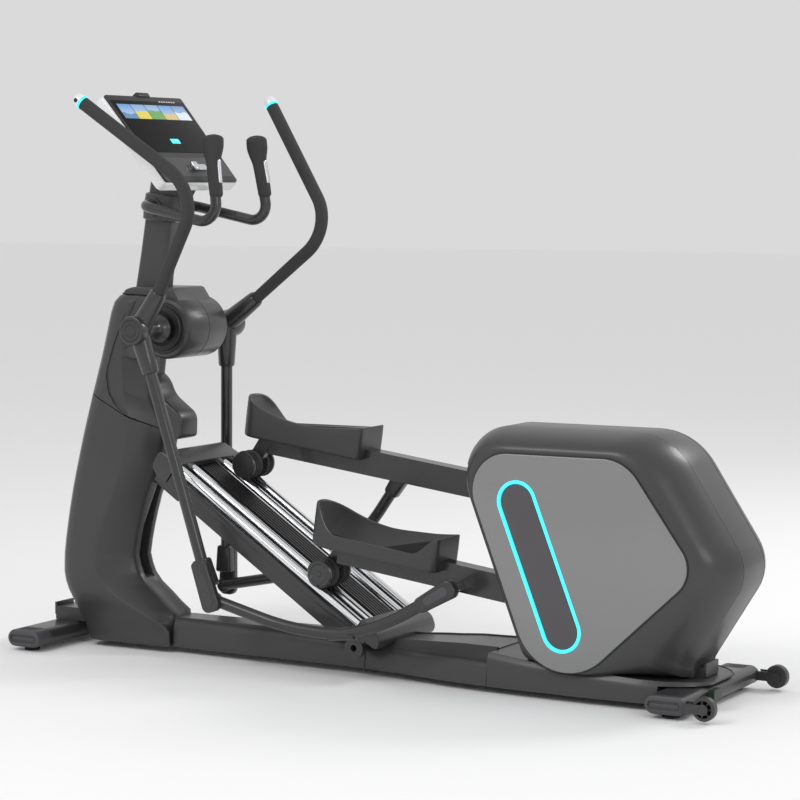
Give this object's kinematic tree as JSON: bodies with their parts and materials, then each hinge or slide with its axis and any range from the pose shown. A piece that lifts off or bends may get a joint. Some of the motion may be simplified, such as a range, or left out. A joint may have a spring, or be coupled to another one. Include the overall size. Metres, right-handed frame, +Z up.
{
  "type": "elliptical trainer",
  "caption": "Front-tower elliptical trainer with a railed incline ramp, rolling pedal arms, swinging handles, fixed grips and a console",
  "frame": {"origin": "on the floor, at the middle of the overall length and width", "axes": "+X points to the drive housing at the rear, -X to the console tower, +Z up; the user faces -X"},
  "size_m": [2.1479, 0.6448, 1.5715],
  "materials": {
    "frame_paint": "satin black powder coat",
    "cap_plastic": "fine grained moulded plastic",
    "rubber_black": "soft matt rubber",
    "cover_charcoal": "fine grained moulded plastic",
    "trim_black": "satin black plastic",
    "bright_steel": "ground steel",
    "arm_paint": "satin charcoal paint",
    "grip_foam": "fine celled foam",
    "console_white": "gloss white moulded plastic",
    "screen_black": "gloss black panel with lit tiles",
    "lever_silver": "satin aluminium",
    "key_grey": "matt grey keys",
    "panel_silver": "satin silver grey paint",
    "insert_violet": "satin violet grey plastic",
    "led_cyan": "lit cyan light guide",
    "belt_rubber": "ribbed rubber belt",
    "motor_grey": "grey enamel",
    "board_green": "circuit board lacquer",
    "pulley_plastic": "glass filled plastic",
    "flywheel_iron": "machined cast iron",
    "rail_chrome": "polished chrome",
    "track_black": "ridged matt plastic",
    "roller_black": "hard polyurethane",
    "pedal_black": "grained moulded plastic with grooved floor",
    "link_grey": "satin grey paint",
    "wheel_black": "spoked moulded plastic"
  },
  "bodies": {
    "frame": {"base_frame": "frame_paint", "stabilizers": "frame_paint", "stabilizer_caps": "cap_plastic", "rubber_feet": "rubber_black", "tower_post": "frame_paint", "tower_shroud": "cover_charcoal", "tower_head_shroud": "cover_charcoal", "tower_cap_plate": "cover_charcoal", "hub_trim_rings": "trim_black", "bearings": "bright_steel", "pivot_axle": "bright_steel", "mast": "cover_charcoal", "handlebar_collar": "cover_charcoal", "fixed_handlebar": "arm_paint", "fixed_grips": "grip_foam", "console_shell": "console_white", "console_bezel": "trim_black", "screen_panel": "screen_black", "console_bracket": "cover_charcoal", "beam_cover": "cover_charcoal", "beam_flare_cover": "cover_charcoal", "housing_spine": "cover_charcoal", "housing_side_shells": "cover_charcoal", "side_panels": "panel_silver", "strip_inserts": "insert_violet", "led_rings": "led_cyan", "rear_plinth": "cover_charcoal", "wheel_brackets": "frame_paint", "drive_frame": "frame_paint", "drive_belt": "belt_rubber", "lift_actuator": "motor_grey", "control_electronics": "board_green"},
    "crank": {"crank_axle": "bright_steel", "crank_arms": "frame_paint", "drive_pulley": "pulley_plastic"},
    "flywheel": {"flywheel": "flywheel_iron"},
    "idler": {"idler_pulley": "pulley_plastic"},
    "ramp": {"ramp_frame": "frame_paint", "ramp_rails": "rail_chrome", "ramp_end_covers": "cover_charcoal", "ramp_track": "track_black"},
    "console_lever": {"console_lever": "lever_silver"},
    "left_carriage": {"left_carriage": "arm_paint"},
    "left_rollers": {"left_rollers": "roller_black"},
    "left_pedal_arm": {"left_pedal_arm": "arm_paint", "left_pedal": "pedal_black"},
    "left_swing_arm": {"left_swing_arm": "arm_paint", "left_swing_handle": "grip_foam"},
    "left_link": {"left_link": "link_grey"},
    "left_transport_wheel": {"left_transport_wheel": "wheel_black"},
    "left_grip_keys": {"left_grip_keys": "key_grey"},
    "right_carriage": {"right_carriage": "arm_paint"},
    "right_rollers": {"right_rollers": "roller_black"},
    "right_pedal_arm": {"right_pedal_arm": "arm_paint", "right_pedal": "pedal_black"},
    "right_swing_arm": {"right_swing_arm": "arm_paint", "right_swing_handle": "grip_foam"},
    "right_link": {"right_link": "link_grey"},
    "right_transport_wheel": {"right_transport_wheel": "wheel_black"},
    "right_grip_keys": {"right_grip_keys": "key_grey"}
  },
  "joints": [
    {"name": "incline", "type": "hinge", "parent": "frame", "child": "ramp", "pos_m": [0, 0, 0.082], "axis": [0, 1, 0], "range_deg": [-12, 0]},
    {"name": "left_stride", "type": "slide", "parent": "ramp", "child": "left_carriage", "axis": [-0.83, 0, 0.5577], "range_m": [0, 0.452]},
    {"name": "left_roller_spin", "type": "hinge", "parent": "left_carriage", "child": "left_rollers", "pos_m": [-0.10136, 0, 0.27541], "axis": [0, 1, 0], "range_deg": [-821, 4]},
    {"name": "left_arm_pitch", "type": "hinge", "parent": "left_carriage", "child": "left_pedal_arm", "pos_m": [-0.10136, 0, 0.27541], "axis": [0, 1, 0], "range_deg": [-0.5, 8.5]},
    {"name": "left_swing", "type": "hinge", "parent": "frame", "child": "left_swing_arm", "pos_m": [-0.636, 0, 0.915], "axis": [0, 1, 0], "range_deg": [-0.5, 21.4]},
    {"name": "left_link_pivot", "type": "hinge", "parent": "left_swing_arm", "child": "left_link", "pos_m": [-0.38475, 0, 0.1935], "axis": [0, 1, 0], "range_deg": [-47.2, 1]},
    {"name": "right_stride", "type": "slide", "parent": "ramp", "child": "right_carriage", "axis": [-0.83, 0, 0.5577], "range_m": [-0.452, 0]},
    {"name": "right_roller_spin", "type": "hinge", "parent": "right_carriage", "child": "right_rollers", "pos_m": [-0.47652, 0, 0.52751], "axis": [0, 1, 0], "range_deg": [-4, 821]},
    {"name": "right_arm_pitch", "type": "hinge", "parent": "right_carriage", "child": "right_pedal_arm", "pos_m": [-0.47652, 0, 0.52751], "axis": [0, 1, 0], "range_deg": [-0.5, 8.5]},
    {"name": "right_swing", "type": "hinge", "parent": "frame", "child": "right_swing_arm", "pos_m": [-0.636, 0, 0.915], "axis": [0, 1, 0], "range_deg": [-21.4, 0.5]},
    {"name": "right_link_pivot", "type": "hinge", "parent": "right_swing_arm", "child": "right_link", "pos_m": [-0.6591, 0, 0.15135], "axis": [0, 1, 0], "range_deg": [-1, 47.2]},
    {"name": "crank_spin", "type": "hinge", "parent": "frame", "child": "crank", "pos_m": [0.69522, 0, 0.34126], "axis": [0, 1, 0], "continuous": true},
    {"name": "flywheel_spin", "type": "hinge", "parent": "frame", "child": "flywheel", "pos_m": [0.52322, 0, 0.48226], "axis": [0, 1, 0], "continuous": true},
    {"name": "idler_spin", "type": "hinge", "parent": "frame", "child": "idler", "pos_m": [0.49872, 0, 0.37455], "axis": [0, 1, 0], "continuous": true},
    {"name": "left_wheel_spin", "type": "hinge", "parent": "frame", "child": "left_transport_wheel", "pos_m": [1.044, -0.245, 0.037], "axis": [0, 1, 0], "continuous": true},
    {"name": "left_grip_key_press", "type": "slide", "parent": "frame", "child": "left_grip_keys", "axis": [-0.9881, 0, -0.1539], "range_m": [0, 0.002], "stiffness_N_per_m": 800},
    {"name": "right_wheel_spin", "type": "hinge", "parent": "frame", "child": "right_transport_wheel", "pos_m": [1.044, 0.245, 0.037], "axis": [0, 1, 0], "continuous": true},
    {"name": "right_grip_key_press", "type": "slide", "parent": "frame", "child": "right_grip_keys", "axis": [-0.9881, 0, -0.1539], "range_m": [0, 0.002], "stiffness_N_per_m": 800},
    {"name": "console_lever_turn", "type": "hinge", "parent": "frame", "child": "console_lever", "pos_m": [-0.60382, 0.02, 1.35052], "axis": [0.766, 0, 0.6428], "range_deg": [-15, 15], "stiffness_Nm_per_rad": 0.6}
  ],
  "couplings": [
    {"joint": "right_stride", "follows": "left_stride", "ratio": -1},
    {"joint": "left_roller_spin", "follows": "left_stride", "rad_per_m": -31.546},
    {"joint": "left_arm_pitch", "follows": "incline", "ratio": -0.675},
    {"joint": "left_swing", "follows": "left_stride", "rad_per_m": 0.80829},
    {"joint": "left_link_pivot", "follows": "left_stride", "rad_per_m": -1.7821},
    {"joint": "right_roller_spin", "follows": "left_stride", "rad_per_m": 31.546},
    {"joint": "right_arm_pitch", "follows": "incline", "ratio": -0.675},
    {"joint": "right_swing", "follows": "left_stride", "rad_per_m": -0.80829},
    {"joint": "right_link_pivot", "follows": "left_stride", "rad_per_m": 1.7821},
    {"joint": "flywheel_spin", "follows": "crank_spin", "ratio": 4.6875},
    {"joint": "idler_spin", "follows": "crank_spin", "ratio": -6.8182}
  ]
}
